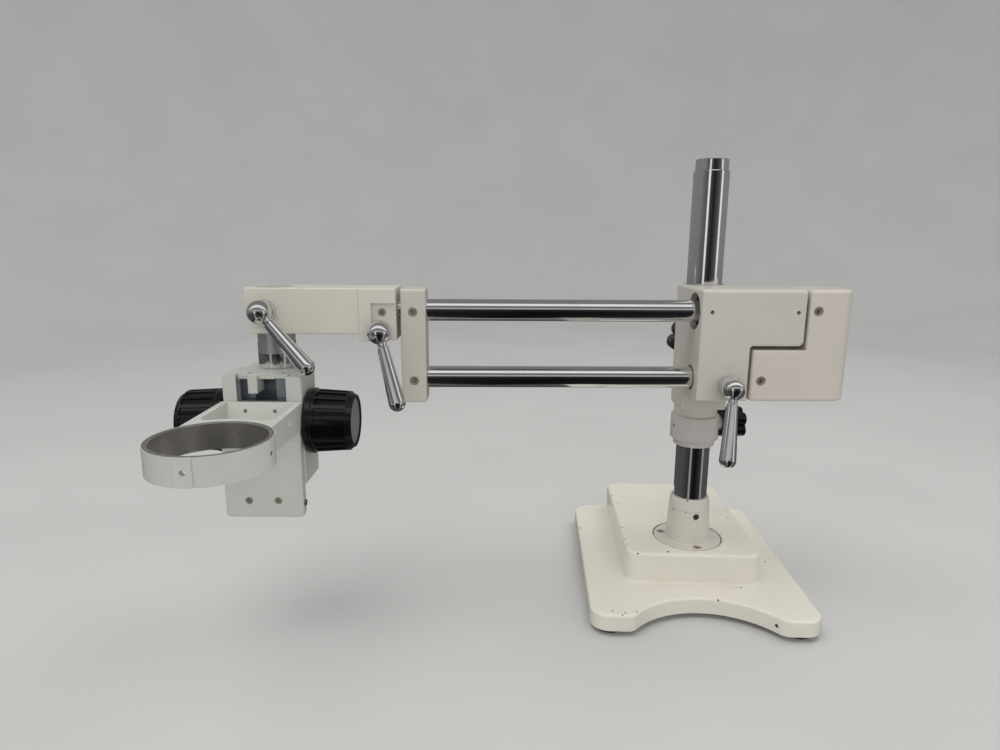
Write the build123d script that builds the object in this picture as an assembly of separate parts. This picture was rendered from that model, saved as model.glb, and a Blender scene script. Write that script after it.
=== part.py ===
from build123d import *
import os
from math import sin, cos, tan, pi, radians, sqrt

# Double-arm boom stand with a rack-and-pinion focus mount and an empty
# 76 mm head ring.  Millimetres.  +Z up.  Origin: column axis on the bench.
# The boom runs along X (head at -X, counterweight at +X); -Y is the side
# of the levers.

# ---------------------------------------------------------------- sizes
BASE_YAW = -4.0            # base casting turned about the column
BDX = -1.6                 # casting is cored slightly off its outline
BX, BYF, BYB = 102.5, -102.5, 146.5
FOOT_H = 5.0
PLATE_T = 21.0             # top of the plate
PLAT_T = 51.2              # top of the raised platform
PX, PYF, PYB = 64.2, -42.7, 145.6
CONCAVE_R, CONCAVE_Y = 80.0, -148.5
SEAT_Z = 41.2              # floor of the flange recess
FL_R = 32.7                # socket flange
PCD = 52.4

COL_R, COL_TOP = 16.0, 416.5
SOCK_TOP = 96.0
COLLAR_R, COLLAR_Z0, COLLAR_Z1 = 22.7, 149.5, 179.5
WASH_Z0, WASH_Z1 = 179.6, 181.5

ARM_Y = -43.0              # plane of the rods and of the mount pin
ROD_R = 9.5
ZU, ZL = 284.0, 224.5      # rod heights
CAR_X0, CAR_XU, CAR_XL = -21.0, 69.0, 23.2
CAR_YF, CAR_YB = -65.0, -21.0
CAR_ZT, CAR_ZB, CAR_ZS = 304.6, 207.4, 256.0
NECK_Z, BOSS_Z = 188.0, 181.6
BRG_R = 16.3
BUSH_R = 11.2

CW_X1 = 112.6
EB_X0, EB_X1, EB_Y0, EB_Y1, EB_Z0, EB_Z1 = -277.3, -256.1, -58.0, -28.0, 204.4, 302.9
PIV_R = 8.2

CB_X0, CB_X1, CB_Y0, CB_Y1, CB_Z0 = -311.8, -280.8, -64.0, -22.0, 259.1
BM_X0, BM_Y0, BM_Y1, BM_Z0 = -407.0, -62.2, -23.8, 265.2
ARM_TOP = 303.8

PIN_X = -387.8
PIN_R = 15.9
FOCUS_YAW = -1.5
HS_X, HS_YF, HS_YB, HS_Z0, HS_Z1 = 32.7, -44.4, -4.0, 140.5, 233.2
SHAFT_Y, SHAFT_Z = -27.0, 192.0
MOD, TEETH = 0.8, 16
KNOB_X0 = 34.0             # inner face of a focus knob
N_PANEL, PANEL_D = 18, 1.1
PITCH_R = MOD * TEETH / 2
RING_Y, RING_RI, RING_RO = -145.5, 38.0, 42.05
RING_Z0, RING_Z1 = 192.4, 212.4
PLATE_Z0 = 115.0

LEVER_L = 67.5             # ball centre to handle tip
BALL_R = 10.0
TILT = 15.0                # handles lean outward

os.makedirs("parts", exist_ok=True)


# -------------------------------------------------------------- helpers
def box(x0, x1, y0, y1, z0, z1):
    return Pos((x0 + x1) / 2, (y0 + y1) / 2, (z0 + z1) / 2) * Box(abs(x1 - x0), abs(y1 - y0), abs(z1 - z0))


def cz(x, y, z0, z1, r):
    return Pos(x, y, (z0 + z1) / 2) * Cylinder(r, abs(z1 - z0))


def cx(y, z, x0, x1, r):
    return Pos((x0 + x1) / 2, y, z) * Rot(0, 90, 0) * Cylinder(r, abs(x1 - x0))


def cy(x, z, y0, y1, r):
    return Pos(x, (y0 + y1) / 2, z) * Rot(90, 0, 0) * Cylinder(r, abs(y1 - y0))


def hexz(r, d):
    return extrude(RegularPolygon(r, 6), d)


def revz(pts):
    """Solid of revolution about Z from (r, z) points."""
    f = make_face(Polyline([(r, 0, z) for r, z in pts], close=True).edges())
    return revolve(f, Axis.Z, 360)


def prism_z(pts, z0, z1):
    f = make_face(Polyline([(x, y, z0) for x, y in pts], close=True).edges())
    return extrude(f, z1 - z0, dir=(0, 0, 1))


def prism_x(pts, x0, x1):
    """pts are (y, z)."""
    f = make_face(Polyline([(x0, y, z) for y, z in pts], close=True).edges())
    return extrude(f, x1 - x0, dir=(1, 0, 0))


def soften(part, edges, r):
    edges = list(edges)
    for k in (1.0, 0.7, 0.4):
        try:
            out = fillet(edges, r * k)
            if out.is_valid:
                return out
        except Exception:
            pass
    return part


def near(v, t, tol=0.05):
    return abs(v - t) < tol


def save(name, *solids):
    flat = []
    for s in solids:
        flat += list(s.solids())
    shape = flat[0] if len(flat) == 1 else Compound(children=flat)
    export_step(shape, "parts/" + name + ".step")


def lobed(r_out, r_in, n, turn):
    """Lobed knob outline, n round lobes."""
    lobe = (r_out - r_in) * 0.95 + 1.6
    sk = Circle(r_in)
    for i in range(n):
        a = radians(turn + 360.0 * i / n)
        sk += Pos((r_out - lobe) * cos(a), (r_out - lobe) * sin(a)) * Circle(lobe)
        sk += Rot(0, 0, turn + 360.0 * i / n) * Pos((r_out - lobe) / 2, 0) * Rectangle(r_out - lobe, 2 * lobe)
    return sk


def screw(head_r, head_h, shank_r, length, hex_r, hex_d):
    """Socket screw, head top at z=0, pointing down -Z."""
    s = cz(0, 0, -head_h, 0, head_r)
    s = soften(s, s.edges().filter_by(GeomType.CIRCLE).sort_by(Axis.Z)[-1:], 0.35)
    if length > head_h:
        s = s + cz(0, 0, -length, -head_h, shank_r)
    return s - Pos(0, 0, -hex_d) * hexz(hex_r, hex_d + 1)


def ball_lever(x, z, y_face, y_ball, ang, hub_r=8.0):
    """Chrome ball lever on a Y screw: face plane, ball centre, swing angle
    of the handle from straight down towards +X."""
    y_hub = y_ball + 7.0
    hub = cy(x, z, y_hub, y_face - 0.25, hub_r)
    hub = soften(hub, hub.edges().filter_by(GeomType.CIRCLE).sort_by(Axis.Y)[:1], 1.0)
    neck_l, tip, r0, r1 = 12.0, LEVER_L, 4.7, 7.0
    rn = 3.9
    zb = sqrt(BALL_R ** 2 - rn ** 2)
    prof = [Edge.make_line((0, 0, BALL_R), (0, 0, -tip)),
            Edge.make_three_point_arc((0, 0, BALL_R), (BALL_R, 0, 0), (rn, 0, -zb)),
            Edge.make_line((rn, 0, -zb), (rn, 0, -neck_l)),
            Edge.make_line((rn, 0, -neck_l), (r0, 0, -neck_l - 1.2)),
            Edge.make_line((r0, 0, -neck_l - 1.2), (r1, 0, -(tip - r1))),
            Edge.make_three_point_arc((r1, 0, -(tip - r1)), (r1 * sin(pi / 4), 0, -(tip - r1) - r1 * cos(pi / 4)), (0, 0, -tip))]
    handle = revolve(make_face(Wire(prof).edges()), Axis.Z, 360)
    # lean outward (towards -Y), then swing in the XZ plane
    handle = Pos(x, y_ball, z) * Rot(0, -ang, 0) * Rot(-TILT, 0, 0) * handle
    return handle + hub


# ================================================================= base
YAW = Rot(0, 0, BASE_YAW)
rec_z = FOOT_H + 4.0
sk = Pos(BDX, (BYF + BYB) / 2) * Rectangle(2 * BX, BYB - BYF)
sk -= Pos(BDX / 2, CONCAVE_Y) * Circle(CONCAVE_R)
plate = Pos(0, 0, FOOT_H) * extrude(sk, PLATE_T - FOOT_H)
v = plate.edges().filter_by(Axis.Z)
outer = [e for e in v if abs(abs(e.center().X - BDX) - BX) < 0.1]
plate = fillet(outer, 17.0)
inner = [e for e in plate.edges().filter_by(Axis.Z) if near(e.center().Y, BYF) and abs(e.center().X) < 70]
plate = fillet(inner, 12.0)
rim = [e for e in plate.edges() if near(e.center().Z, PLATE_T) and e.bounding_box().size.Z < 0.01]
plate = soften(plate, rim, 2.6)
bot = [e for e in plate.edges() if near(e.center().Z, FOOT_H) and e.bounding_box().size.Z < 0.01]
plate = soften(plate, bot, 1.0)
plat = box(BDX - PX, BDX + PX, PYF, PYB, PLATE_T - 4, PLAT_T)
plat = fillet(plat.edges().filter_by(Axis.Z), 13.0)
plat = soften(plat, [e for e in plat.edges() if near(e.center().Z, PLAT_T)], 3.0)
base = plate + plat
# concave root along the platform's foot
root = [e for e in base.edges() if near(e.center().Z, PLATE_T) and e.bounding_box().size.Z < 0.01
        and PYF - 1 < e.center().Y < PYB - 14 and abs(e.center().X - BDX) < PX + 1]
base = soften(base, root, 3.0)
base -= cz(0, 0, SEAT_Z, PLAT_T + 5, FL_R + 0.7)
# shallow relief under the plate
base -= box(-70, 70, -55, 120, FOOT_H - 1, rec_z)
ang = [-81.0, 39.0, 159.0]
for a in ang:
    hx, hy = PCD / 2 * cos(radians(a)), PCD / 2 * sin(radians(a))
    base -= cz(hx, hy, 27.0, SEAT_Z + 1, 2.55)
feet_xy = [(84, -84), (-84, -84), (84, 128), (-84, 128)]
feet, fscrews = [], []
for fx, fy in feet_xy:
    fx += BDX
    base -= cz(fx, fy, FOOT_H - 1, 14.0, 2.05)
    f = cz(fx, fy, 0, FOOT_H, 13.0)
    f = soften(f, f.edges().filter_by(GeomType.CIRCLE).sort_by(Axis.Z)[:1], 1.2)
    f = f - cz(fx, fy, -1, 2.6, 4.2) - cz(fx, fy, -1, 6, 2.1)
    feet.append(YAW * f)
    s = Pos(fx, fy, 0.7) * Rot(180, 0, 0) * screw(3.9, 1.9, 1.98, 12.3, 1.3, 1.1)
    fscrews.append(YAW * s)
save("base_casting", YAW * base)
save("rubber_feet", *feet)
save("foot_screws", *fscrews)

# ------------------------------------------------------- column socket
sock = revz([(COL_R + 0.02, SEAT_Z), (FL_R, SEAT_Z), (FL_R, PLAT_T - 0.4), (FL_R - 0.4, PLAT_T), (22.6, PLAT_T),
             (21.6, PLAT_T + 0.7), (21.2, PLAT_T + 2.0), (19.7, 82.6), (19.2, 83.0), (19.2, 83.8), (19.6, 84.2),
             (18.9, 93.5), (18.0, 95.6), (16.9, SOCK_TOP), (COL_R + 0.02, SOCK_TOP - 0.6)])
sscr = []
for a in ang:
    hx, hy = PCD / 2 * cos(radians(a)), PCD / 2 * sin(radians(a))
    sock -= cz(hx, hy, SEAT_Z - 1, PLAT_T + 1, 2.65)
    sock -= Pos(hx, hy, PLAT_T - 1.25) * Cone(2.6, 4.5, 2.7)
    cs = Pos(hx, hy, PLAT_T - 1.6) * Cone(2.45, 3.9, 2.2) + cz(hx, hy, 28.0, PLAT_T - 2.6, 2.45)
    cs -= Pos(hx, hy, PLAT_T - 2.6) * hexz(1.75, 4)
    sscr.append(YAW * cs)
ga = radians(-81.5)
sock -= Rot(0, 0, -81.5) * cx(0, 79.5, 15, 25, 3.05)
save("column_socket", YAW * sock)
save("socket_flange_screws", *sscr)
g = Rot(0, 0, -81.5) * (cx(0, 79.5, 16.1, 19.4, 3.0) - Pos(17.6, 0, 79.5) * Rot(0, 90, 0) * hexz(1.7, 4))
save("socket_grub_screw", YAW * g)

# --------------------------------------------------------------- column
col = revz([(12.6, SEAT_Z), (COL_R, SEAT_Z), (COL_R, 345.2), (COL_R - 0.3, 345.4), (COL_R - 0.3, 345.9), (COL_R, 346.1),
            (COL_R, 405.8), (14.9, 406.6), (14.6, 415.9), (14.1, COL_TOP), (12.6, COL_TOP)])
save("column_tube", col)
plug = cz(0, 0, 400.0, 414.5, 12.55)
plug = soften(plug, plug.edges().filter_by(GeomType.CIRCLE).sort_by(Axis.Z)[-1:], 1.0)
plug -= cz(0, 0, 398, 411.5, 10.5)
save("column_plug", plug)

# ---------------------------------------------------------- stop collar
CK_Z = 170.5
collar = revz([(COL_R + 0.06, COLLAR_Z0), (19.0, COLLAR_Z0), (19.5, COLLAR_Z0 + 0.5), (19.5, 154.8), (20.2, 155.5), (COLLAR_R - 0.8, 155.5),
               (COLLAR_R, 156.3), (COLLAR_R, COLLAR_Z1 - 0.8), (COLLAR_R - 0.8, COLLAR_Z1), (COL_R + 0.06, COLLAR_Z1)])
collar += cx(0, CK_Z, 20, COLLAR_R + 4.9, 7.4)
collar -= cz(0, 0, 140, 190, COL_R + 0.06)
collar -= cx(0, CK_Z, 12, 30, 3.06)
collar -= Rot(0, 0, -165) * cx(0, 169.0, 14, 26, 1.75)
save("stop_collar", collar)
cs = cx(0, 169.0, 16.4, 21.2, 1.7) - Pos(19.4, 0, 169.0) * Rot(0, 90, 0) * hexz(0.95, 3)
save("collar_set_screw", Rot(0, 0, -165) * cs)
save("collar_clamp_pad", cx(0, CK_Z, COL_R + 0.35, 17.6, 2.9))
save("collar_knob_stud", cx(0, CK_Z, 17.65, 39.0, 3.0))
kn = extrude(lobed(15.3, 10.6, 5, 18), 22.0)
kn = soften(kn, kn.edges().filter_by(Plane.XY), 1.6)
kn = Pos(24.4, 0, CK_Z) * Rot(0, 90, 0) * kn
kn -= cx(0, CK_Z, 20, 39.1, 3.02)
kn -= cx(0, CK_Z, 20, 28.0, 8.6)
save("collar_knob", kn)

# -------------------------------------------------------- thrust washer
save("thrust_washer", cz(0, 0, WASH_Z0, WASH_Z1, 20.1) - cz(0, 0, 170, 190, COL_R + 0.4))

# =============================================================== carrier
hs_u = box(CAR_X0, CAR_XU, CAR_YF, CAR_YB, CAR_ZS, CAR_ZT)
hs_l = box(CAR_X0, CAR_XL, CAR_YF, CAR_YB, CAR_ZB, CAR_ZS + 1)
boss = box(-21, 21, CAR_YB - 1, 26, NECK_Z, CAR_ZT)
boss = fillet([e for e in boss.edges().filter_by(Axis.Z) if e.center().Y > 20], 15.9)
car = hs_u + hs_l + boss
# concave web between the column boss and the rear of the rod housing
ins = [e for e in car.edges().filter_by(Axis.Z) if near(e.center().X, 21) and near(e.center().Y, CAR_YB)
       and e.center().Z > CAR_ZS]
car = soften(car, ins, 11.0)
ed = [e for e in car.edges() if (near(e.center().X, CAR_XU) and e.bounding_box().size.Z < 0.01 and near(e.center().Z, CAR_ZS))]
car = soften(car, ed, 5.0)
ed = [e for e in car.edges() if near(e.center().X, CAR_XL) and near(e.center().Z, CAR_ZS) and e.bounding_box().size.Z < 0.01]
car = soften(car, ed, 2.5)
ed = [e for e in car.edges() if near(e.center().Z, CAR_ZT) and e.bounding_box().size.Z < 0.01]
car = soften(car, ed, 3.2)
ed = [e for e in car.edges() if near(e.center().Y, CAR_YF) and e.bounding_box().size.Y < 0.01]
car = soften(car, ed, 2.2)
ed = [e for e in car.edges() if near(e.center().Z, NECK_Z) and e.bounding_box().size.Z < 0.01]
car = soften(car, ed, 2.4)
car += cz(0, 0, BOSS_Z, NECK_Z + 1, 20.4)
car -= cz(0, 0, 170, 310, 18.0)
car += cz(0, 0, 300.2, CAR_ZT - 0.3, 18.5) - cz(0, 0, 299, 306, COL_R + 0.4)
car -= cx(ARM_Y, ZU, CAR_X0 - 1, CAR_XU + 1, BRG_R)
car -= cx(ARM_Y, ZL, CAR_X0 - 1, CAR_XL + 1, BUSH_R + 0.02)
for sx in (-12.2, 61.9):
    car -= cy(sx, 285.2, CAR_YF - 1, -58.0, 1.75)
LK_X, LK_Z = 5.6, 222.0
car -= cy(LK_X, LK_Z, CAR_YF - 1, -51.5, 4.05)
RK_Z = 247.0
car -= cy(0, RK_Z, 15, 30, 4.05)
car -= cx(-8.0, 247.8, CAR_X0 - 1, CAR_X0 + 1.5, 0.8)
save("boom_carrier", car)

bush = lambda z0, z1: cz(0, 0, z0, z1, 17.97) - cz(0, 0, z0 - 1, z1 + 1, COL_R + 0.06)
save("column_bushes", bush(184.0, 212.0), bush(272.0, 300.0))


def brg(x0, x1):
    b = cx(ARM_Y, ZU, x0, x1, BRG_R - 0.03) - cx(ARM_Y, ZU, x0 - 1, x1 + 1, ROD_R + 0.06)
    for xs in (x0, x1):
        b -= cx(ARM_Y, ZU, xs - 1.0, xs + 1.0, 15.7)
    for xs in (x0 + 4.0, x1 - 5.2):
        b -= cx(ARM_Y, ZU, xs, xs + 1.2, 30) - cx(ARM_Y, ZU, xs - 1, xs + 3, BRG_R - 0.7)
    return b


def seal(x):
    return cx(ARM_Y, ZU, x, x + 0.9, 15.6) - cx(ARM_Y, ZU, x - 1, x + 2, ROD_R + 0.35)


B1, B2 = (-15.5, 14.5), (35.0, 65.0)
save("linear_bearings", brg(*B1), brg(*B2))
save("bearing_seals", seal(B1[0]), seal(B1[1] - 0.9), seal(B2[0]), seal(B2[1] - 0.9))
lb = lambda x0, x1: cx(ARM_Y, ZL, x0, x1, BUSH_R) - cx(ARM_Y, ZL, x0 - 1, x1 + 1, ROD_R + 0.06)
save("lower_rod_bushes", lb(-20.6, -3.0), lb(11.5, 22.8))
gs = []
for sx in (-12.2, 61.9):
    gs.append(cy(sx, 285.2, -62.6, -59.4, 1.7) - Pos(sx, -61.0, 285.2) * Rot(90, 0, 0) * hexz(0.95, 3))
save("bearing_set_screws", *gs)
save("rod_clamp_pad", cy(LK_X, LK_Z, -55.4, -53.2, 3.9))
save("column_clamp_pad", cy(0, RK_Z, COL_R + 0.35, 18.6, 3.9))

# front lever that locks the sliding arm
save("arm_lock_lever", ball_lever(LK_X, LK_Z, CAR_YF, -79.5, -6.3, 8.6) - cy(LK_X, LK_Z, -75, -60, 4.05))
save("arm_lock_stud", cy(LK_X, LK_Z, -74.9, -55.5, 4.0))

# rear knob that locks the carrier on the column
kn = extrude(lobed(19.5, 13.0, 5, 161), 20.0)
kn = soften(kn, kn.edges().filter_by(Plane.XY), 1.8)
kn = kn + cz(0, 0, -4.0, 1, 9.0)
kn = Pos(0, 30.3, RK_Z) * Rot(-90, 0, 0) * kn
kn -= cy(0, RK_Z, 20, 41, 4.05)
save("column_lock_knob", kn)
save("column_lock_stud", cy(0, RK_Z, 18.7, 40.9, 4.0))

# ========================================================= sliding arms
up = cx(ARM_Y, ZU, -274.0, 100.0, ROD_R)
up = soften(up, up.edges().filter_by(GeomType.CIRCLE), 0.8)
up += cx(ARM_Y, ZU, -308.0, -273.0, PIV_R)
up -= cx(ARM_Y, ZU, -295.0, -290.4, 12) - cx(ARM_Y, ZU, -296, -290, PIV_R - 1.3)
save("upper_rod", up)
lo = cx(ARM_Y, ZL, -274.0, 100.0, ROD_R)
lo = soften(lo, lo.edges().filter_by(GeomType.CIRCLE), 0.8)
save("lower_rod", lo)

eb = box(EB_X0, EB_X1, EB_Y0, EB_Y1, EB_Z0, EB_Z1)
eb = soften(eb, eb.edges().filter_by(Axis.X), 2.0)
eb = soften(eb, [e for e in eb.edges() if near(e.center().Y, EB_Y0) and e.bounding_box().size.Y < 0.01], 1.0)
eb -= cx(ARM_Y, ZU, -274.05, EB_X1 + 1, ROD_R + 0.02)
eb -= cx(ARM_Y, ZU, EB_X0 - 1, -270, PIV_R + 0.02)
eb -= cx(ARM_Y, ZL, -274.05, EB_X1 + 1, ROD_R + 0.02)
ebs = []
for sx, sz in ((-267.0, 283.6), (-266.7, 223.8)):
    eb -= cy(sx, sz, EB_Y0 - 1, -50, 4.0)
    ebs.append(cy(sx, sz, -57.0, -52.6, 3.92) - Pos(sx, -54.6, sz) * Rot(90, 0, 0) * hexz(2.3, 4))
save("end_block", eb)
save("end_block_screws", *ebs)

cw = box(25.6, CW_X1, CAR_YF, CAR_YB, 207.2, 252.8) + box(71.4, CW_X1, CAR_YF, CAR_YB, 250, 304.7)
cw = soften(cw, [e for e in cw.edges().filter_by(Axis.Z) if near(e.center().X, CW_X1)], 15.0)
cw = soften(cw, [e for e in cw.edges() if near(e.center().Z, 304.7) and e.bounding_box().size.Z < 0.01], 3.2)
cw = soften(cw, [e for e in cw.edges() if near(e.center().Z, 207.2) and e.bounding_box().size.Z < 0.01], 3.0)
cw = soften(cw, [e for e in cw.edges().filter_by(Axis.Z) if e.center().X < 75 and e.length > 20], 2.6)
cw = soften(cw, [e for e in cw.edges() if near(e.center().Z, 252.8) and near(e.center().Y, CAR_YF) and e.bounding_box().size.Z < 0.01], 2.0)
cw -= cx(ARM_Y, ZU, 70, 100.2, ROD_R + 0.02)
cw -= cx(ARM_Y, ZL, 20, 100.2, ROD_R + 0.02)
cws = []
for sx, sz in ((79.2, 286.2), (34.6, 225.4)):
    cw -= cy(sx, sz, CAR_YF - 1, -50, 4.0)
    cw -= Pos(sx, CAR_YF + 0.4, sz) * Rot(90, 0, 0) * Cone(4.0, 4.6, 1.0)
    cws.append(cy(sx, sz, -62.8, -52.6, 3.92) - Pos(sx, -60.2, sz) * Rot(90, 0, 0) * hexz(2.3, 4))
save("counterweight", cw)
save("counterweight_screws", *cws)

# ============================================================= front arm
cb = box(CB_X0, CB_X1, CB_Y0, CB_Y1, CB_Z0, ARM_TOP)
cb = soften(cb, cb.edges(), 0.9)
bm = box(BM_X0, CB_X0 + 4, BM_Y0, BM_Y1, BM_Z0, ARM_TOP)
bm = soften(bm, [e for e in bm.edges() if e.center().X < CB_X0], 0.9)
fa = cb + bm
fa -= soften(box(-301.4, -270, CB_Y0 - 3, -60.0, 240, 291.5), [], 0)
fa -= cx(ARM_Y, ZU, -308.6, -270, PIV_R + 0.06)
fa -= box(CB_X0 - 1, -280, ARM_Y - 0.8, ARM_Y + 0.8, 250, ZU - 7.5)
TL_X, TL_Z = -293.2, 268.3
fa -= cy(TL_X, TL_Z, -62, -24.5, 4.05)
fa -= cy(-292.7, 283.5, -62, -50, 3.55)
fa -= cz(PIN_X, ARM_Y, 255, 310, PIN_R + 0.06)
fa -= cz(-369.9, ARM_Y, 255, 310, 2.6)
fa -= box(-369.9, -326.5, ARM_Y - 0.4, ARM_Y + 0.4, ARM_TOP - 2.5, ARM_TOP + 1)
PL_X, PL_Z = -390.4, 285.0
fa -= cy(PL_X, PL_Z, -64, -50, 4.05)
save("front_arm", fa)
rs = cy(-292.7, 283.5, -60.0, -54.5, 3.5) + cy(-292.7, 283.5, -55, -50.3, 2.0)
rs -= Pos(-292.7, -57.6, 283.5) * Rot(90, 0, 0) * hexz(2.0, 4)
save("tilt_retaining_screw", rs)
save("tilt_lock_lever", ball_lever(TL_X, TL_Z, -60.0, -75.0, 15.5, 8.0) - cy(TL_X, TL_Z, -70.5, -55, 4.05))
save("tilt_lock_stud", cy(TL_X, TL_Z, -70.4, -25.0, 4.0))
save("pin_lock_lever", ball_lever(PL_X, PL_Z, BM_Y0, -76.2, 43.0, 9.2) - cy(PL_X, PL_Z, -71.7, -55, 4.05))
save("pin_lock_stud", cy(PL_X, PL_Z, -71.6, -60.9, 4.0))
save("pin_clamp_pad", cy(PL_X, PL_Z, -60.8, -59.2, 3.9))

# ======================================== focus mount (built about pin)
FM = Pos(PIN_X, ARM_Y, 0) * Rot(0, 0, FOCUS_YAW)


def fsave(name, *solids):
    save(name, *[FM * s for s in solids])


pin = revz([(0, 234.0), (15.6, 234.0), (16.1, 234.5), (16.1, 257.4), (15.2, 257.6), (15.2, 258.8), (PIN_R, 259.0),
            (PIN_R, 300.8), (14.9, 301.8), (0, 301.8)])
pin -= cz(0, 0, 230, 256, 4.05)
fsave("mount_pin", pin)
bolt = cz(0, 0, 190.5, 198.4, 6.4) + cz(0, 0, 198, 254, 4.0)
bolt -= Pos(0, 0, 188) * hexz(3.4, 6)
fsave("pin_bolt", bolt)

hs = box(-HS_X, HS_X, HS_YF, HS_YB, HS_Z0, HS_Z1)
hs = soften(hs, hs.edges().filter_by(Axis.Z), 1.6)
hs += box(-26, 26, HS_YB - 2, 22, 176, HS_Z1)
hs = soften(hs, [e for e in hs.edges().filter_by(Axis.Z) if e.center().Y > 20], 3.0)
hs += box(-26, 26, -22, 22, HS_Z1 - 1, 233.9)
hs = soften(hs, [e for e in hs.edges() if near(e.center().Z, HS_Z0) and e.bounding_box().size.Z < 0.01], 0.8)
CH = [(-20.8, HS_YF - 1), (20.0, HS_YF - 1), (20.0, HS_YF), (24.2, -34.4), (-25.0, -34.4), (-20.8, HS_YF)]
hs -= prism_z(CH, HS_Z0 - 1, HS_Z1 + 2)
hs -= box(-9, 9, -35, -17.5, HS_Z0 - 1, 230.2)
hs -= box(-20.8, 20.0, -39.5, -24.0, 230.2, HS_Z1 + 2)
hs -= box(-12.6, -8.9, -35, -26.5, 217.0, 230.2)
hs -= cx(SHAFT_Y, SHAFT_Z, -40, 40, 7.02)
hs -= cz(0, 0, 170, 198.4, 7.0)
hs -= cz(0, 0, 190, 240, 4.2)
for gz in (160.0, 224.0):
    hs -= cx(-39.4, gz, -35, -20, 1.65)
for (gy, gz) in ((-42.0, 228.6), (-42.0, 168.0)):
    hs -= cx(gy, gz, 29.5, 36, 0.9)
for sx in (-15.0, 14.5):
    hs -= cz(sx, -27.5, 222, 236, 1.55)
fsave("focus_housing", hs)

cap = box(-20.6, 19.8, -39.4, -24.2, 230.3, HS_Z1)
cap -= box(9.2, 21, -40, -37.5, 229, 230.9)
cap += box(-11.2, -3.6, -44.2, -28.0, 219.0, 230.4)
cap += box(-11.2, -3.6, -44.2, -39.0, 230.0, HS_Z1)
cps = []
for sx in (-15.0, 14.5):
    cap -= cz(sx, -27.5, 229, 236, 1.6)
    cap -= Pos(sx, -27.5, HS_Z1 - 0.65) * Cone(1.55, 2.9, 1.4)
    c = Pos(sx, -27.5, HS_Z1 - 0.85) * Cone(1.4, 2.5, 1.3) + cz(sx, -27.5, 223, HS_Z1 - 1.4, 1.5)
    cps.append(c - Pos(sx, -27.5, HS_Z1 - 1.2) * hexz(1.0, 3))
fsave("channel_cap", cap)
fsave("cap_screws", *cps)
gib = prism_z([(-20.75, HS_YF + 0.2), (-17.3, HS_YF + 0.2), (-21.4, -34.6), (-24.85, -34.6)], 142.0, 230.2)
gib -= cx(-39.4, 160, -35, -21.9, 1.0)
fsave("gib_strip", gib)
fsave("gib_screws", *[cx(-39.4, gz, -31.5, -23.65, 1.6) - Pos(-33, -39.4, gz) * Rot(0, 90, 0) * hexz(0.9, 3)
                      for gz in (160.0, 224.0)])
pb = lambda x0, x1: cx(SHAFT_Y, SHAFT_Z, x0, x1, 7.0) - cx(SHAFT_Y, SHAFT_Z, x0 - 1, x1 + 1, 5.06)
fsave("pinion_bushes", pb(-32.0, -9.3), pb(9.3, 32.0))

# ------------------------------------------------ pinion shaft and knobs
sh = cx(SHAFT_Y, SHAFT_Z, -62, 62, 5.0)
gear = Circle(5.35)
for i in range(TEETH):
    gear += Rot(0, 0, 360.0 * i / TEETH) * Pos(6.0, 0) * Polygon((-1.4, -0.62), (1.0, -0.28), (1.0, 0.28), (-1.4, 0.62), align=None)
gear = extrude(gear, 17.6)
gear = Pos(-8.8, SHAFT_Y, SHAFT_Z) * Rot(0, 90, 0) * gear
sh += gear
fsave("pinion_shaft", sh)


def knob(sign):
    a = cz(0, 0, KNOB_X0, 40.5, 28.0)
    a = soften(a, a.edges().filter_by(GeomType.CIRCLE), 1.8)
    # smooth shoulder, eighteen shallow panels between narrow ridges, smooth band
    rr = lambda z: 27.0 - (z - 40.0) * 1.8 / 29.5
    k = a + revz([(0, 40.0), (27.0, 40.0), (rr(42.6), 42.6), (rr(43.2) - PANEL_D, 43.2), (rr(67.0) - PANEL_D, 67.0),
                  (rr(67.6), 67.6), (rr(69.0), 69.0), (24.7, 69.5), (0, 69.5)])
    shell = revz([(20.0, 42.0), (rr(42.0), 42.0), (rr(68.0), 68.0), (20.0, 68.0)])
    ridges = None
    for i in range(N_PANEL):
        w = Rot(0, 0, 360.0 / N_PANEL * (i + 0.5)) * box(21.0, 30.0, -1.35, 1.35, 42.3, 67.9)
        ridges = w if ridges is None else ridges + w
    k += ridges & shell
    k += Pos(0, 0, 71.2) * Cone(24.2, 22.3, 3.6)
    k -= cz(0, 0, 70.8, 75, 19.6)
    k -= cz(0, 0, 30, 62.1, 5.03)
    k -= cz(0, 0, 30, 38.0, 13.0)
    k = Pos(0, SHAFT_Y, SHAFT_Z) * Rot(0, 90 * sign, 0) * k
    d = cz(0, 0, 70.85, 71.8, 19.45)
    return k, Pos(0, SHAFT_Y, SHAFT_Z) * Rot(0, 90 * sign, 0) * d


kr, dr = knob(1)
kl, dl = knob(-1)
fsave("focus_knob_right", kr)
fsave("focus_knob_left", kl)
fsave("knob_discs", dr, dl)
ws = [cx(SHAFT_Y, SHAFT_Z, s * 32.75, s * 34.2, 11.5) - cx(SHAFT_Y, SHAFT_Z, s * 30, s * 36, 5.1) for s in (1, -1)]
fsave("knob_washers", *ws)

# ------------------------------------------------------ slide and ring
sl = prism_z([(-17.05, -45.2), (19.9, -45.2), (19.9, -44.4), (23.95, -34.75), (-21.15, -34.75), (-17.15, -44.4)], 118.0, 213.4)
sl -= box(-4.05, 4.05, -38.6, -30, 110, 220)
for sx in (-12.6, 11.8):
    for szz in (129.7, 205.5):
        sl -= cy(sx, szz, -46, -36.5, 1.75)
fsave("dovetail_slide", sl)

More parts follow.
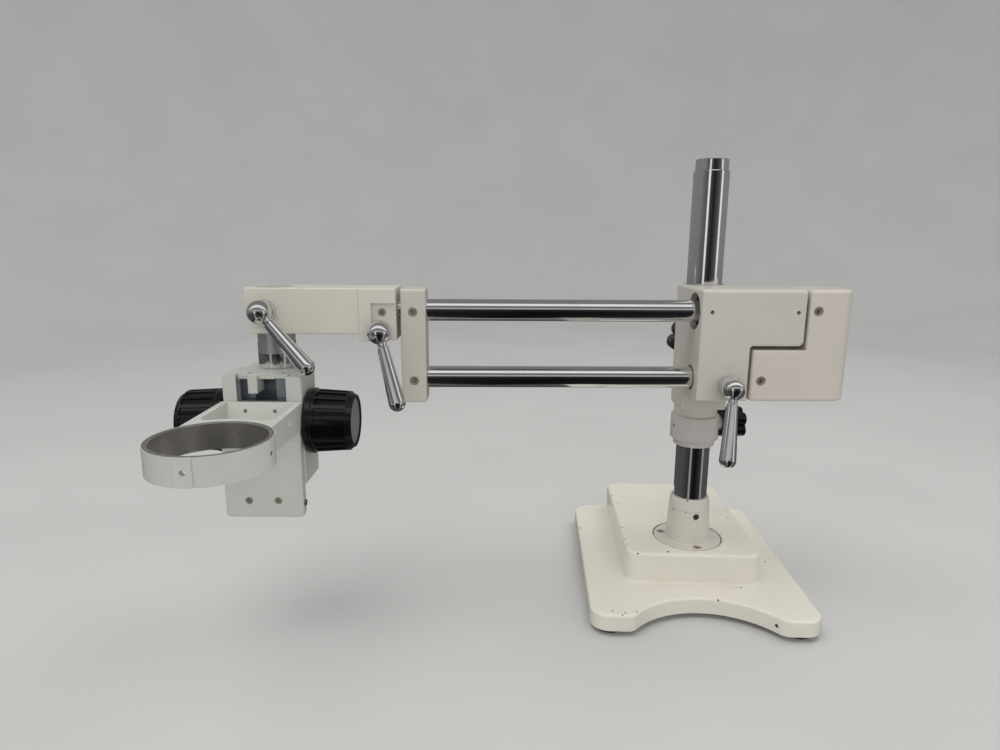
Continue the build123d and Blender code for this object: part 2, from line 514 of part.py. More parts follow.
PITCH = pi * MOD
rack = box(-4.0, 4.0, -38.55, SHAFT_Y - PITCH_R - 1.0, 120.0, 211.5)
yr = SHAFT_Y - PITCH_R
n0 = int((211.0 - SHAFT_Z) / PITCH) + 1
teeth = None
k = -int((SHAFT_Z - 121.5) / PITCH)
while True:
    zc = SHAFT_Z + (k + 0.5) * PITCH
    if zc > 210.0:
        break
    t = prism_x([(yr - 1.2, zc - 0.78), (yr + 0.75, zc - 0.26), (yr + 0.75, zc + 0.26), (yr - 1.2, zc + 0.78)], -4.0, 4.0)
    rack += t
    k += 1
fsave("focus_rack", rack)

# upright plate below the slab; the slab, ring and gussets are one piece above it
yp = box(-32.5, 32.5, -55.2, -45.2, PLATE_Z0, RING_Z0)
yp = soften(yp, [e for e in yp.edges().filter_by(Axis.Y) if near(e.center().Z, PLATE_Z0)], 3.0)
yp = soften(yp, yp.edges().filter_by(Axis.Z), 1.6)
yp = soften(yp, [e for e in yp.edges() if e.center().Z < PLATE_Z0 + 3.1 and near(e.center().Y, -55.2)], 1.0)
yk = box(-32.5, 32.5, -55.2, -45.2, RING_Z0, RING_Z1)
slab = box(-33.5, 33.5, -132.0, -45.2, RING_Z0, RING_Z1)
slab += cz(0, RING_Y, RING_Z0, RING_Z1, RING_RO)
slab += box(-6.0, 6.0, -187.9, -180.0, RING_Z0, RING_Z1)
pk = box(-28.0, 28.0, -118.0, -55.2, RING_Z0 - 1, RING_Z1 + 1) - cz(0, RING_Y, RING_Z0 - 5, RING_Z1 + 5, 48.0)
pk = soften(pk, [e for e in pk.edges().filter_by(Axis.Z) if e.center().Y < -90], 7.0)
slab -= pk
gus = box(-33.5, -26.5, -67.2, -55.2, 180.4, RING_Z0 + 1) + box(26.5, 33.5, -67.2, -55.2, 180.4, RING_Z0 + 1)
gus -= cx(-67.2, 180.4, -40, 40, 12.0)
yk = yk + slab + gus
# sloping face behind the pocket
yk -= prism_x([(-55.3, 193.5), (-46.6, RING_Z1 + 0.2), (-46.6, RING_Z1 + 5), (-60, RING_Z1 + 5), (-60, 193.5)], -28.0, 28.0)
yk -= cz(0, RING_Y, RING_Z0 - 1, RING_Z1 + 1, RING_RI)
ZM = (RING_Z0 + RING_Z1) / 2
for a in (-90, -3, 183):
    yk -= Pos(0, RING_Y, 0) * Rot(0, 0, a) * cx(0, ZM, 30, 50, 2.0)
yk -= cx(-80.8, 204.4, 20, 40, 1.7)
yk -= Pos(32.85, -80.8, 204.4) * Rot(0, 90, 0) * Cone(1.7, 3.0, 1.3)
rg = soften(yk, [e for e in yk.edges() if near(e.center().Z, RING_Z1) and e.geom_type == GeomType.CIRCLE and near(e.radius, RING_RI)], 0.6)
yk = rg
for sx in (-12.6, 11.8):
    yp -= cy(sx, 129.7, -56, -44, 1.8)
    yp -= cy(sx, 129.7, -56, -51.6, 3.1)
    yk -= cy(sx, 205.5, -60, -44, 1.6)
yp -= cx(-50.2, 126.5, 28, 40, 2.05)
fsave("ring_carrier", yk)
fsave("ring_plate", yp)
ss = []
for sx in (-12.6, 11.8):
    s = Pos(sx, -51.9, 129.7) * Rot(90, 0, 0) * (Pos(0, 0, 2.6) * screw(2.9, 2.6, 1.7, 17.0, 1.5, 1.4))
    ss.append(s)
    ss.append(cy(sx, 205.5, -49.2, -38.0, 1.5) - Pos(sx, -48.0, 205.5) * Rot(90, 0, 0) * hexz(0.85, 2))
fsave("slide_screws", *ss)
sg = []
for a in (-3, 183):
    s = cx(0, ZM, 38.6, 41.6, 1.95) - Pos(40.2, 0, ZM) * Rot(0, 90, 0) * hexz(1.1, 3)
    sg.append(Pos(0, RING_Y, 0) * Rot(0, 0, a) * s)
fsave("ring_set_screws", *sg)
ps = cx(-50.2, 126.5, 28.2, 33.2, 2.0) + cx(-50.2, 126.5, 32.55, 33.7, 2.7)
ps -= Pos(33.0, -50.2, 126.5) * Rot(0, 90, 0) * hexz(1.2, 2)
fsave("plate_side_screw", ps)
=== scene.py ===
import math

import bpy
import bmesh
from mathutils import Matrix, Vector

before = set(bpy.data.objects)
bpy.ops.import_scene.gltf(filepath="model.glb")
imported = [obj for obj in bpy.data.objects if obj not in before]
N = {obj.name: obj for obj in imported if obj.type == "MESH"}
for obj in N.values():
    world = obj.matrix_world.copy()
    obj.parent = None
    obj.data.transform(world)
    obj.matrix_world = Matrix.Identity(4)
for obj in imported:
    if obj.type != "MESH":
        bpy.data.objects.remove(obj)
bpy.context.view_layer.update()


# ------------------------------------------------------------ node helpers
class Mat:
    """A small builder for node materials. Coordinates are object coordinates in metres."""

    def __init__(self, name):
        self.m = bpy.data.materials.new(name)
        self.m.use_nodes = True
        self.t = self.m.node_tree
        self.t.nodes.clear()
        self.out = self.t.nodes.new("ShaderNodeOutputMaterial")
        self.b = self.t.nodes.new("ShaderNodeBsdfPrincipled")
        self.t.links.new(self.b.outputs[0], self.out.inputs["Surface"])
        self.co = self.t.nodes.new("ShaderNodeTexCoord").outputs["Object"]

    def node(self, kind, **kw):
        n = self.t.nodes.new(kind)
        for k, v in kw.items():
            setattr(n, k, v)
        return n

    def link(self, a, b):
        self.t.links.new(a, b)

    def put(self, sock, v):
        if hasattr(v, "is_linked") or hasattr(v, "links"):
            self.link(v, sock)
        else:
            sock.default_value = v

    def scaled(self, s, co=None):
        n = self.node("ShaderNodeMapping")
        self.link(co or self.co, n.inputs["Vector"])
        n.inputs["Scale"].default_value = s if isinstance(s, tuple) else (s, s, s)
        return n.outputs[0]

    def noise(self, scale, detail=3.0, rough=0.5, co=None, dist=0.0):
        n = self.node("ShaderNodeTexNoise")
        self.link(co or self.co, n.inputs["Vector"])
        n.inputs["Scale"].default_value = scale
        n.inputs["Detail"].default_value = detail
        n.inputs["Roughness"].default_value = rough
        n.inputs["Distortion"].default_value = dist
        return n.outputs["Fac"]

    def voronoi(self, scale, feature="F1", co=None, rnd=1.0):
        n = self.node("ShaderNodeTexVoronoi", feature=feature)
        self.link(co or self.co, n.inputs["Vector"])
        n.inputs["Scale"].default_value = scale
        n.inputs["Randomness"].default_value = rnd
        return n.outputs["Distance"]

    def math(self, op, a, b=0.0, clamp=False):
        n = self.node("ShaderNodeMath", operation=op, use_clamp=clamp)
        self.put(n.inputs[0], a)
        self.put(n.inputs[1], b)
        return n.outputs[0]

    def ramp(self, f, lo, hi, a=0.0, b=1.0, smooth=True):
        n = self.node("ShaderNodeMapRange", interpolation_type="SMOOTHSTEP" if smooth else "LINEAR")
        self.put(n.inputs["Value"], f)
        n.inputs["From Min"].default_value = lo
        n.inputs["From Max"].default_value = hi
        n.inputs["To Min"].default_value = a
        n.inputs["To Max"].default_value = b
        return n.outputs["Result"]

    def mix(self, f, a, b):
        n = self.node("ShaderNodeMix", data_type="RGBA")
        self.put(n.inputs[0], f)
        for s, v in ((n.inputs[6], a), (n.inputs[7], b)):
            if isinstance(v, tuple):
                s.default_value = (*v, 1.0) if len(v) == 3 else v
            else:
                self.link(v, s)
        return n.outputs[2]

    def bump(self, h, dist, strength=1.0, normal=None):
        n = self.node("ShaderNodeBump")
        n.inputs["Distance"].default_value = dist
        n.inputs["Strength"].default_value = strength
        self.link(h, n.inputs["Height"])
        if normal is not None:
            self.link(normal, n.inputs["Normal"])
        return n.outputs[0]

    def edges(self, radius):
        """1 on sharp or tightly rounded edges, 0 elsewhere."""
        bev = self.node("ShaderNodeBevel", samples=4)
        bev.inputs["Radius"].default_value = radius
        geo = self.node("ShaderNodeNewGeometry")
        dot = self.node("ShaderNodeVectorMath", operation="DOT_PRODUCT")
        self.link(bev.outputs[0], dot.inputs[0])
        self.link(geo.outputs["Normal"], dot.inputs[1])
        return self.ramp(self.math("SUBTRACT", 1.0, dot.outputs["Value"]), 0.01, 0.12)

    def near_points(self, pts):
        """Smallest of distance/radius over points (x, y, z, r), roughened."""
        wob = self.math("MULTIPLY", self.math("SUBTRACT", self.noise(900.0, 2.0), 0.5), 1.3)
        best = None
        for x, y, z, r in pts:
            d = self.node("ShaderNodeVectorMath", operation="DISTANCE")
            self.link(self.co, d.inputs[0])
            d.inputs[1].default_value = (x, y, z)
            q = self.math("DIVIDE", d.outputs["Value"], r)
            best = q if best is None else self.math("MINIMUM", best, q)
        return self.math("ADD", best, wob)

    def along(self, origin, direction):
        """Signed distance from origin along direction, in metres."""
        d = self.node("ShaderNodeVectorMath", operation="SUBTRACT")
        self.link(self.co, d.inputs[0])
        d.inputs[1].default_value = origin
        q = self.node("ShaderNodeVectorMath", operation="DOT_PRODUCT")
        self.link(d.outputs[0], q.inputs[0])
        q.inputs[1].default_value = direction
        return q.outputs["Value"]

    def off_axis(self, x, y):
        """Distance from the upright line through (x, y), in metres."""
        a = self.along((x, y, 0.0), (1.0, 0.0, 0.0))
        b = self.along((x, y, 0.0), (0.0, 1.0, 0.0))
        return self.math("SQRT", self.math("ADD", self.math("MULTIPLY", a, a), self.math("MULTIPLY", b, b)))

    def within(self, f, lo, hi):
        """1 where lo < f < hi."""
        return self.math("MULTIPLY", self.math("GREATER_THAN", f, lo), self.math("LESS_THAN", f, hi))

    def both(self, *fs):
        k = fs[0]
        for f in fs[1:]:
            k = self.math("MULTIPLY", k, f)
        return k

    def finish(self, color, rough, metallic=0.0, normal=None, coat=0.0, coat_rough=0.1, spec=0.5, ior=1.5):
        i = self.b.inputs
        if isinstance(color, tuple):
            i["Base Color"].default_value = (*color, 1.0)
        else:
            self.link(color, i["Base Color"])
        self.put(i["Roughness"], rough)
        self.put(i["Metallic"], metallic)
        i["IOR"].default_value = ior
        i["Specular IOR Level"].default_value = spec
        i["Coat Weight"].default_value = coat
        i["Coat Roughness"].default_value = coat_rough
        if normal is not None:
            self.link(normal, i["Normal"])
        return self.m


def srgb(r, g, b):
    f = lambda c: c / 12.92 if c <= 0.04045 else ((c + 0.055) / 1.055) ** 2.4
    return tuple(f(v / 255.0) for v in (r, g, b))


def paint(name, rgb, dark=0.86, chips=(), wear=0.35, rough=0.38, grime=0.25, peel=1.0, speck=0.5, bare=None, stain=None):
    """Sprayed enamel on a casting: orange peel, faint mottling, rubbed edges, dust specks and chips."""
    m = Mat(name)
    base = srgb(*rgb)
    deep = tuple(c * dark for c in base)
    warm = (base[0] * 0.97, base[1] * 0.93, base[2] * 0.84)
    col = m.mix(m.ramp(m.noise(9.0, 4.0, 0.6), 0.35, 0.72), base, deep)
    col = m.mix(m.math("MULTIPLY", m.ramp(m.noise(38.0, 5.0, 0.65), 0.52, 0.75), grime), col, warm)
    # rubbed edges, where the coat has gone thin and greyer
    edge = m.math("MULTIPLY", m.edges(0.0012), m.ramp(m.noise(170.0, 4.0, 0.7), 0.45, 0.62))
    edge = m.math("MULTIPLY", edge, wear)
    col = m.mix(edge, col, tuple(c * 0.55 for c in base))
    # small specks of dirt in the paint
    sp = m.math("LESS_THAN", m.voronoi(210.0), 0.06)
    sp = m.math("MULTIPLY", sp, m.ramp(m.noise(60.0, 2.0), 0.56, 0.66))
    col = m.mix(m.math("MULTIPLY", sp, speck), col, srgb(96, 84, 70))
    h = m.math("ADD", m.math("MULTIPLY", m.noise(420.0, 2.0, 0.45), 1.0), m.math("MULTIPLY", m.noise(1500.0, 2.0), 0.25))
    h = m.math("SUBTRACT", h, m.math("MULTIPLY", edge, 0.5))
    r = m.ramp(m.noise(55.0, 4.0, 0.6), 0.3, 0.75, rough - 0.05, rough + 0.09)
    if chips:
        c = m.near_points(chips)
        k = m.ramp(c, 1.05, 0.9)
        core = m.ramp(c, 0.75, 0.6)
        col = m.mix(k, col, srgb(120, 108, 94))
        col = m.mix(core, col, srgb(44, 38, 34))
        r = m.math("ADD", r, m.math("MULTIPLY", k, 0.3))
        h = m.math("SUBTRACT", h, m.math("MULTIPLY", k, 3.0))
    met = 0.0
    if stain is not None:
        k = m.math("MULTIPLY", stain(m), m.ramp(m.noise(160.0, 4.0, 0.7), 0.36, 0.62, 0.25, 1.0))
        col = m.mix(m.math("MULTIPLY", k, 0.75), col, srgb(112, 92, 70))
    if bare is not None:
        # machined faces left without paint
        k, rgb_b = bare(m)
        tool = m.noise(1.0, 3.0, 0.6, co=m.scaled((260.0, 260.0, 2600.0)))
        b = srgb(*rgb_b)
        bcol = m.mix(m.ramp(tool, 0.3, 0.7), tuple(c * 0.80 for c in b), tuple(min(1.0, c * 1.15) for c in b))
        bcol = m.mix(m.ramp(m.noise(45.0, 4.0, 0.65), 0.5, 0.8, 0.0, 0.5), bcol, tuple(c * 0.6 for c in b))
        col = m.mix(k, col, bcol)
        met = m.math("MULTIPLY", k, 0.85)
        r = m.math("ADD", m.math("MULTIPLY", r, m.math("SUBTRACT", 1.0, k)), m.math("MULTIPLY", k, 0.40))
        h = m.math("ADD", m.math("MULTIPLY", h, m.math("SUBTRACT", 1.0, k)), m.math("MULTIPLY", m.math("MULTIPLY", tool, k), 0.5))
    n = m.bump(h, 0.00006 * peel, 0.55)
    return m.finish(col, r, met, n, coat=0.18, coat_rough=0.22)


def chrome(name, tint=(0.80, 0.80, 0.80), rough=0.06, axis=None, dull=0.0, satin=None):
    """Hard chrome with faint wipe marks, fingerprints and pits."""
    m = Mat(name)
    smear = m.noise(30.0, 5.0, 0.65, dist=0.6)
    fine = m.noise(700.0, 2.0, 0.5, co=m.scaled((1.0, 1.0, 1.0) if axis is None else axis))
    r = m.math("ADD", m.ramp(smear, 0.42, 0.8, rough, rough + 0.10), m.math("MULTIPLY", fine, 0.03))
    pit = m.math("LESS_THAN", m.voronoi(260.0), 0.045)
    pit = m.math("MULTIPLY", pit, m.ramp(m.noise(45.0, 2.0), 0.58, 0.68))
    col = m.mix(m.ramp(smear, 0.4, 0.85), tint, tuple(c * 0.90 for c in tint))
    col = m.mix(pit, col, (0.10, 0.09, 0.08))
    r = m.math("ADD", r, m.math("MULTIPLY", pit, 0.4))
    n = m.bump(m.math("SUBTRACT", fine, m.math("MULTIPLY", pit, 2.0)), 0.000004, 0.35)
    if satin is not None:
        r = m.math("ADD", r, m.math("MULTIPLY", satin(m), 0.28))
    return m.finish(col, m.math("ADD", r, dull), 1.0, n)


def steel(name, rgb, rough=0.32, rust=0.0, metallic=1.0, grain=(1.0, 1.0, 1.0), grain_scale=600.0):
    """Turned or ground steel, with optional brown oxide."""
    m = Mat(name)
    base = srgb(*rgb)
    g = m.noise(grain_scale, 3.0, 0.6, co=m.scaled(grain))
    col = m.mix(m.ramp(g, 0.3, 0.7), tuple(c * 0.82 for c in base), tuple(min(1.0, c * 1.12) for c in base))
    r = m.ramp(g, 0.25, 0.75, rough - 0.06, rough + 0.08)
    met = metallic
    if rust:
        k = m.ramp(m.noise(240.0, 4.0, 0.7), 0.62 - 0.35 * rust, 0.78 - 0.30 * rust)
        col = m.mix(k, col, srgb(74, 52, 36))
        r = m.math("ADD", r, m.math("MULTIPLY", k, 0.35))
        met = m.math("SUBTRACT", metallic, m.math("MULTIPLY", k, 0.7 * metallic))
    n = m.bump(g, 0.00001, 0.5)
    return m.finish(col, r, met, n)


def plastic(name, rgb, rough=0.2, dust=0.3, bump=0.00003, scale=900.0, spec=0.5):
    """Moulded plastic with a fine grain and a little dust."""
    m = Mat(name)
    base = srgb(*rgb)
    g = m.noise(scale, 3.0, 0.55)
    scuff = m.ramp(m.noise(70.0, 5.0, 0.7, dist=0.4), 0.55, 0.8)
    col = m.mix(m.math("MULTIPLY", scuff, dust), base, tuple(min(1.0, c + 0.045) for c in base))
    d = m.math("LESS_THAN", m.voronoi(480.0), 0.07)
    d = m.math("MULTIPLY", d, m.ramp(m.noise(120.0, 2.0), 0.54, 0.66))
    col = m.mix(m.math("MULTIPLY", d, dust), col, srgb(150, 146, 138))
    r = m.math("ADD", m.ramp(g, 0.3, 0.75, rough - 0.03, rough + 0.07), m.math("MULTIPLY", scuff, 0.10))
    return m.finish(col, r, 0.0, m.bump(g, bump, 0.5), spec=spec)


# --------------------------------------------------------------- materials
CREAM = (230, 226, 214)
IVORY = (200, 196, 187)
PINKISH = (207, 200, 191)
COLLAR = (190, 185, 180)
COOL = (199, 201, 194)

BASE_CHIPS = [           # where the coat is knocked off the base: x, y, z, radius
    (-0.05683, 0.10645, 0.05089, 0.00110), (-0.05314, 0.08330, 0.05120, 0.00090), (-0.06038, 0.13344, 0.02100, 0.00080),
    (-0.09561, 0.08383, 0.02100, 0.00120), (-0.05868, 0.05890, 0.05120, 0.00070), (-0.06222, 0.01915, 0.05113, 0.00090),
    (-0.06437, -0.00817, 0.05108, 0.00080), (-0.06452, -0.01948, 0.05119, 0.00070), (-0.05833, -0.03763, 0.05018, 0.00100),
    (0.05753, 0.04361, 0.05120, 0.00090), (0.08349, 0.00161, 0.02100, 0.00100), (0.03910, -0.04964, 0.02100, 0.00100),
    (-0.07274, 0.00649, 0.02100, 0.00080), (0.05280, -0.10008, 0.01233, 0.00170), (0.01042, -0.07050, 0.01997, 0.00090),
    (-0.09102, -0.08888, 0.02100, 0.00100), (-0.08024, -0.09222, 0.02100, 0.00090), (-0.06940, -0.09042, 0.02092, 0.00080),
    (-0.08340, -0.09561, 0.02065, 0.00080), (-0.02876, -0.03575, 0.05120, 0.00130),
]
SOCKET_CHIPS = [(-0.00706, -0.01666, 0.09536, 0.00080), (-0.01729, -0.00832, 0.08329, 0.00080), (-0.00819, -0.01736, 0.08378, 0.00070)]

# focus mount: its own axes, turned a little about the mount pin
FX, FY, FA = -0.3878, -0.043, math.radians(-1.5)
F_O, F_X, F_Y = (FX, FY, 0.0), (math.cos(FA), math.sin(FA), 0.0), (-math.sin(FA), math.cos(FA), 0.0)
RING = (FX + 0.1455 * math.sin(FA), FY - 0.1455 * math.cos(FA))


def flange_stain(m):
    """Brown ring of dirt in the groove round the column's flange."""
    d = m.off_axis(0.0, 0.0)
    return m.both(m.ramp(d, 0.0324, 0.0329), m.ramp(d, 0.0349, 0.0340), m.math("GREATER_THAN", m.along((0, 0, 0), (0, 0, 1)), 0.045))


def ring_bare(m):
    """Bore and top rim of the head ring."""
    d = m.off_axis(*RING)
    z = m.along((0, 0, 0), (0, 0, 1))
    bore = m.both(m.math("LESS_THAN", d, 0.03845), m.math("GREATER_THAN", z, 0.18))
    rim = m.both(m.math("LESS_THAN", d, 0.04155), m.math("GREATER_THAN", z, 0.21225))
    return m.math("MAXIMUM", bore, rim), (176, 172, 168)


def window_bare(m):
    """Milled channel and pocket behind the window of the focus housing."""
    x, y = m.along(F_O, F_X), m.along(F_O, F_Y)
    z = m.along((0, 0, 0), (0, 0, 1))
    k = m.both(m.within(x, -0.0252, 0.0243), m.within(y, -0.04425, -0.0165), m.math("LESS_THAN", z, 0.2303))
    return k, (176, 184, 192)


def pin_satin(m):
    return m.ramp(m.along((0, 0, 0), (0, 0, 1)), 0.2468, 0.2472)

MATS = {}


def give(node, mat):
    o = N[node]
    o.data.materials.clear()
    o.data.materials.append(mat)


m_base = paint("paint_base_cream", CREAM, dark=0.94, wear=0.5, speck=0.8, chips=BASE_CHIPS, stain=flange_stain)
m_socket = paint("paint_socket_cream", (212, 207, 197), dark=0.92, wear=0.4, speck=0.8, chips=SOCKET_CHIPS)
m_arm = paint("paint_arm_ivory", IVORY, dark=0.95, wear=0.3, speck=0.35)
m_front = paint("paint_front_arm_ivory", (213, 209, 198), dark=0.94, wear=0.4, speck=0.35)
m_weight = paint("paint_weight_ivory", PINKISH, dark=0.95, wear=0.3, speck=0.3)
m_collar = paint("paint_collar", COLLAR, dark=0.92, wear=0.3, speck=0.3)
m_focus = paint("paint_focus_grey_white", COOL, dark=0.95, wear=0.4, speck=0.4)
m_ring = paint("paint_ring_grey_white", COOL, dark=0.95, wear=0.5, speck=0.4, bare=ring_bare)
m_housing = paint("paint_housing_grey_white", COOL, dark=0.95, wear=0.4, speck=0.4, bare=window_bare)
m_chrome = chrome("chrome_column")
m_chrome_rod = chrome("chrome_rods", rough=0.07)
m_chrome_lever = chrome("chrome_levers", rough=0.09)
m_pin = chrome("chrome_pin", rough=0.10, satin=pin_satin)
m_ground = steel("steel_ground", (150, 152, 156), rough=0.36)
# linear bearings: the near-black colour is painted shade for the recessed bore they sit in; the brown spots on them are
# rust
m_shade = steel("steel_dark_painted_shade", (40, 40, 42), rough=0.5, rust=0.2, metallic=0.6)
m_zinc = steel("steel_zinc", (170, 170, 166), rough=0.34, rust=0.15)
m_dark = steel("steel_oxidised", (176, 166, 154), rough=0.46, rust=0.22, metallic=0.45)
m_grub = steel("steel_grub", (168, 168, 164), rough=0.34, rust=0.1)
m_bronze = steel("bronze_bush", (150, 122, 82), rough=0.42)
m_brass = steel("brass_machined", (168, 146, 92), rough=0.36)
m_rubber = plastic("rubber_black", (26, 26, 26), rough=0.78, dust=0.5, bump=0.00008, scale=500.0, spec=0.3)
m_black = plastic("plastic_black_gloss", (13, 13, 14), rough=0.17, dust=0.2)
m_knob = plastic("plastic_black_knob", (8, 8, 9), rough=0.16, dust=0.15)
m_disc = plastic("disc_grey", (128, 128, 127), rough=0.45, dust=0.3)
m_acetal = plastic("acetal_natural", (206, 201, 190), rough=0.5, dust=0.2)

ASSIGN = {
    m_base: ["base_casting"],
    m_socket: ["column_socket"],
    m_arm: ["boom_carrier", "end_block"],
    m_front: ["front_arm"],
    m_weight: ["counterweight"],
    m_collar: ["stop_collar"],
    m_focus: ["channel_cap", "ring_plate"],
    m_ring: ["ring_carrier"],
    m_housing: ["focus_housing"],
    m_chrome: ["column_tube", "column_plug"],
    m_chrome_rod: ["upper_rod", "lower_rod"],
    m_chrome_lever: ["arm_lock_lever", "tilt_lock_lever", "pin_lock_lever"],
    m_pin: ["mount_pin"],
    m_shade: ["linear_bearings"],
    m_ground: ["gib_strip", "pinion_shaft", "dovetail_slide"],
    m_zinc: ["foot_screws", "collar_knob_stud", "arm_lock_stud", "column_lock_stud", "tilt_lock_stud", "pin_lock_stud", "plate_side_screw"],
    m_dark: ["socket_flange_screws", "collar_set_screw", "bearing_set_screws", "end_block_screws",
             "counterweight_screws", "tilt_retaining_screw", "pin_bolt", "cap_screws", "gib_screws", "slide_screws", "ring_set_screws"],
    m_bronze: ["column_bushes", "pinion_bushes"],
    m_grub: ["socket_grub_screw", "lower_rod_bushes"],
    m_brass: ["collar_clamp_pad", "rod_clamp_pad", "column_clamp_pad", "pin_clamp_pad", "focus_rack"],
    m_rubber: ["rubber_feet", "bearing_seals"],
    m_black: ["collar_knob", "column_lock_knob"],
    m_knob: ["focus_knob_right", "focus_knob_left"],
    m_disc: ["knob_discs"],
    m_acetal: ["thrust_washer", "knob_washers"],
}
for mat, names in ASSIGN.items():
    for n in names:
        give(n, mat)


SMOOTH = bpy.data.node_groups.new("shade_smooth", "GeometryNodeTree")
SMOOTH.interface.new_socket(name="Geometry", in_out="INPUT", socket_type="NodeSocketGeometry")
SMOOTH.interface.new_socket(name="Geometry", in_out="OUTPUT", socket_type="NodeSocketGeometry")
g_in = SMOOTH.nodes.new("NodeGroupInput")
g_set = SMOOTH.nodes.new("GeometryNodeSetShadeSmooth")
g_out = SMOOTH.nodes.new("NodeGroupOutput")
SMOOTH.links.new(g_in.outputs[0], g_set.inputs[0])
SMOOTH.links.new(g_set.outputs[0], g_out.inputs[0])


def smooth(o):
    """Joins the shading across the seams between tangent faces."""
    n = o.modifiers.new("smooth", "NODES")
    n.node_group = SMOOTH
    a = o.modifiers.new("weld", "WELD")
    a.merge_threshold = 0.000002
    b = o.modifiers.new("split", "EDGE_SPLIT")
    b.use_edge_angle, b.use_edge_sharp = True, False
    b.split_angle = math.radians(29.0)
    c = o.modifiers.new("normals", "WEIGHTED_NORMAL")
    c.mode, c.weight, c.thresh = "FACE_AREA_WITH_ANGLE", 50, 0.01
    c.keep_sharp = False


for name, o in N.items():
    smooth(o)

# ------------------------------------------------------------------- stage
fm = Mat("floor_pale")
fcol = fm.mix(fm.ramp(fm.noise(3.0, 3.0), 0.3, 0.7), (0.60, 0.60, 0.592), (0.575, 0.575, 0.568))
fm.finish(fcol, 0.75, 0.0, None, spec=0.15)

PROFILE = [(0.0, 0.0), (0.4, 0.0), (0.8, 0.0), (1.3, 0.0), (2.0, 0.0)]
COVE = [(2.0 + 1.3 * math.sin(t * math.pi / 32), 1.3 - 1.3 * math.cos(t * math.pi / 32)) for t in range(17)] + [(3.3, 3.0), (3.3, 5.0)]


def revolved(name, profile, steps=96):
    """A round stage piece about the column, from (radius, height) points."""
    me = bpy.data.meshes.new(name)
    bm = bmesh.new()
    rings = []
    for r, z in profile:
        if r == 0.0:
            rings.append([bm.verts.new((0, 0, z))])
        else:
            rings.append([bm.verts.new((r * math.cos(2 * math.pi * i / steps), r * math.sin(2 * math.pi * i / steps), z)) for i in range(steps)])
    for a, b in zip(rings, rings[1:]):
        for i in range(steps):
            k = (i + 1) % steps
            if len(a) == 1:
                bm.faces.new((a[0], b[i], b[k]))
            else:
                bm.faces.new((a[i], b[i], b[k], a[k]))
    for f in bm.faces:
        f.smooth = True
    bm.to_mesh(me)
    bm.free()
    o = bpy.data.objects.new(name, me)
    bpy.context.scene.collection.objects.link(o)
    me.materials.append(fm.m)
    return o


floor = revolved("floor", PROFILE)
cove = revolved("cove", COVE)
cove.visible_glossy = False
floor.visible_glossy = False
cove.visible_diffuse = False
cove.visible_shadow = False


def area(name, loc, target, sx, sy, power, color=(1, 1, 1)):
    d = bpy.data.lights.new(name, "AREA")
    d.shape = "RECTANGLE"
    d.size, d.size_y = sx, sy
    d.energy = power
    d.color = color
    o = bpy.data.objects.new(name, d)
    o.location = loc
    o.rotation_euler = (Vector(target) - Vector(loc)).to_track_quat("-Z", "Y").to_euler()
    bpy.context.scene.collection.objects.link(o)
    return o


area("ceiling_a", (-0.9, -0.5, 2.3), (-0.15, 0.0, 0.2), 1.6, 1.2, 19.0, (1.0, 0.99, 0.97)).visible_glossy = False
area("ceiling_b", (0.9, 0.3, 2.2), (0.0, 0.0, 0.2), 1.2, 1.2, 10.0, (1.0, 0.99, 0.97)).visible_glossy = False
area("front_fill", (0.5, -2.3, 1.0), (-0.10, 0.0, 0.2), 2.2, 1.4, 14.0, (1.0, 1.0, 1.0)).visible_glossy = False

w = bpy.data.worlds.new("studio")
bpy.context.scene.world = w
w.use_nodes = True
wt = w.node_tree
wt.nodes.clear()


def wn(kind, **kw):
    n = wt.nodes.new(kind)
    for k, v in kw.items():
        setattr(n, k, v)
    return n


def wmath(op, a, b=0.0):
    n = wn("ShaderNodeMath", operation=op)
    for sck, v in zip(n.inputs, (a, b)):
        if hasattr(v, "links"):
            wt.links.new(v, sck)
        else:
            sck.default_value = v
    return n.outputs[0]


def wramp(f, lo, hi, stops):
    """Piecewise grey level of f between lo and hi."""
    mr = wn("ShaderNodeMapRange")
    wt.links.new(f, mr.inputs[0])
    mr.inputs[1].default_value, mr.inputs[2].default_value = lo, hi
    cr = wn("ShaderNodeValToRGB")
    wt.links.new(mr.outputs[0], cr.inputs[0])
    el = cr.color_ramp.elements
    for i, (p, c) in enumerate(stops):
        q = (p - lo) / (hi - lo)
        k = el[i] if i < 2 else el.new(q)
        k.position = q
        k.color = (c, c, c, 1)
    return cr.outputs[0]


tc = wn("ShaderNodeTexCoord")
sep = wn("ShaderNodeSeparateXYZ")
wt.links.new(tc.outputs["Generated"], sep.inputs[0])
X, Y, Z = sep.outputs
back = wmath("MULTIPLY", Y, -1.0)
# round the horizon, 0 towards -Y: a dark room with two thin bright lamps, pale walls at the sides and behind
turn = wramp(wmath("ARCTAN2", X, back), -math.pi, math.pi, [
    (-3.10, 0.22), (3.10, 0.23), (-1.35, 0.20), (-0.95, 0.13), (-0.60, 0.09), (-0.53, 0.95), (-0.40, 0.95), (-0.33, 0.06),
    (0.10, 0.012), (0.45, 0.05), (0.85, 0.12), (0.95, 0.95), (1.08, 0.95), (1.16, 0.24), (1.6, 0.22)])
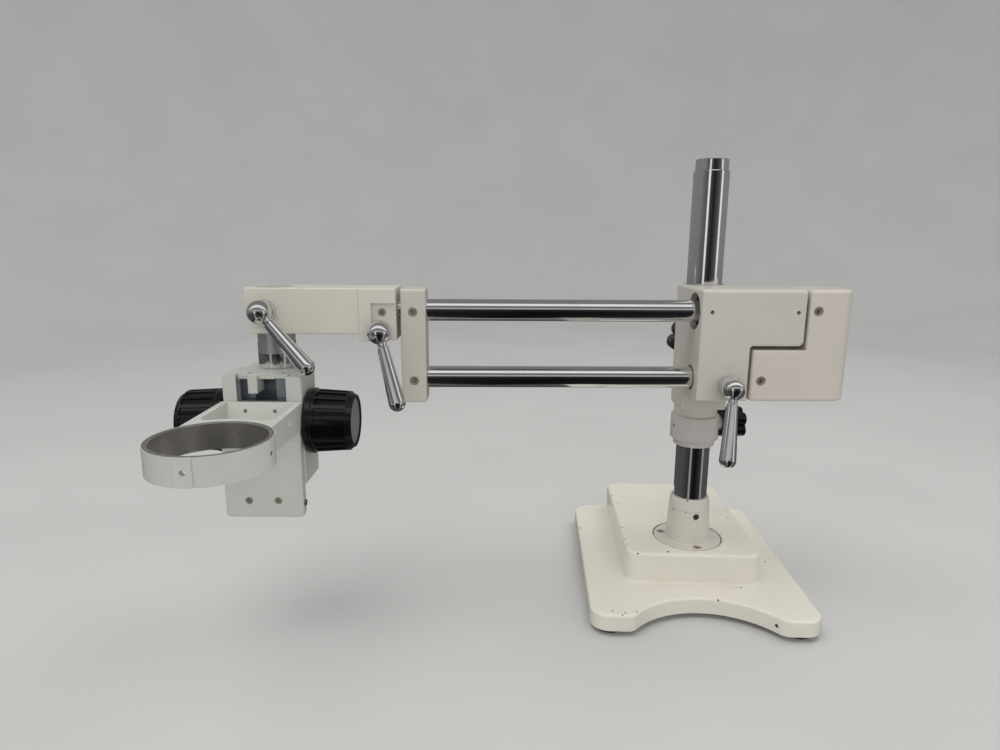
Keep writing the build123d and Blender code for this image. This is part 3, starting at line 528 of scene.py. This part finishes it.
# over the top, from -Y through the zenith to +Y: strip lights in a pale ceiling
over = wramp(wmath("ARCTAN2", Z, back), 0.0, math.pi, [
    (0.02, 0.02), (3.10, 0.25), (0.22, 0.03), (0.32, 0.50), (0.46, 0.46), (0.56, 0.13), (0.84, 0.17), (0.96, 0.95),
    (1.28, 0.85), (1.42, 0.20), (2.2, 0.20)])
up = wn("ShaderNodeMapRange", interpolation_type="SMOOTHSTEP")
wt.links.new(Z, up.inputs[0])
up.inputs[1].default_value, up.inputs[2].default_value = 0.10, 0.34
room = wn("ShaderNodeMix", data_type="RGBA")
wt.links.new(up.outputs[0], room.inputs[0])
wt.links.new(turn, room.inputs[6])
wt.links.new(over, room.inputs[7])
lpw = wn("ShaderNodeLightPath")
mixw = wn("ShaderNodeMix", data_type="RGBA")
wt.links.new(lpw.outputs["Is Glossy Ray"], mixw.inputs[0])
# darker below the horizon, as over a dark bench
low = wn("ShaderNodeMapRange", interpolation_type="SMOOTHSTEP")
wt.links.new(Z, low.inputs[0])
low.inputs[1].default_value, low.inputs[2].default_value = -0.20, 0.0
low.inputs[3].default_value, low.inputs[4].default_value = 0.35, 1.0
dim = wn("ShaderNodeMix", data_type="RGBA", blend_type="MULTIPLY")
dim.inputs[0].default_value = 1.0
wt.links.new(room.outputs[2], dim.inputs[6])
wt.links.new(low.outputs[0], dim.inputs[7])
mixw.inputs[6].default_value = (0.52, 0.52, 0.517, 1)
wt.links.new(dim.outputs[2], mixw.inputs[7])
bg = wn("ShaderNodeBackground")
wt.links.new(mixw.outputs[2], bg.inputs[0])
wo = wn("ShaderNodeOutputWorld")
wt.links.new(bg.outputs[0], wo.inputs[0])

# ------------------------------------------------------------------ camera
YAW, PITCH, ROLL = math.radians(1.30), math.radians(11.78), math.radians(0.41)
fwd = Vector((math.sin(YAW) * math.cos(PITCH), math.cos(YAW) * math.cos(PITCH), -math.sin(PITCH)))
right = Vector((math.cos(YAW), -math.sin(YAW), 0.0))
up = right.cross(fwd)
r2 = right * math.cos(ROLL) + up * math.sin(ROLL)
u2 = -right * math.sin(ROLL) + up * math.cos(ROLL)
cd = bpy.data.cameras.new("camera")
cd.sensor_width = 36.0
cd.sensor_fit = "HORIZONTAL"
cd.lens = 670.42 / 1000.0 * 36.0
cd.clip_start, cd.clip_end = 0.02, 60.0
cam = bpy.data.objects.new("camera", cd)
cam.matrix_world = Matrix((
    (r2.x, u2.x, -fwd.x, -0.20513),
    (r2.y, u2.y, -fwd.y, -0.62894),
    (r2.z, u2.z, -fwd.z, 0.34821),
    (0, 0, 0, 1)))
bpy.context.scene.collection.objects.link(cam)
bpy.context.scene.camera = cam
bpy.context.scene.view_settings.view_transform = "Standard"
bpy.context.scene.view_settings.look = "None"
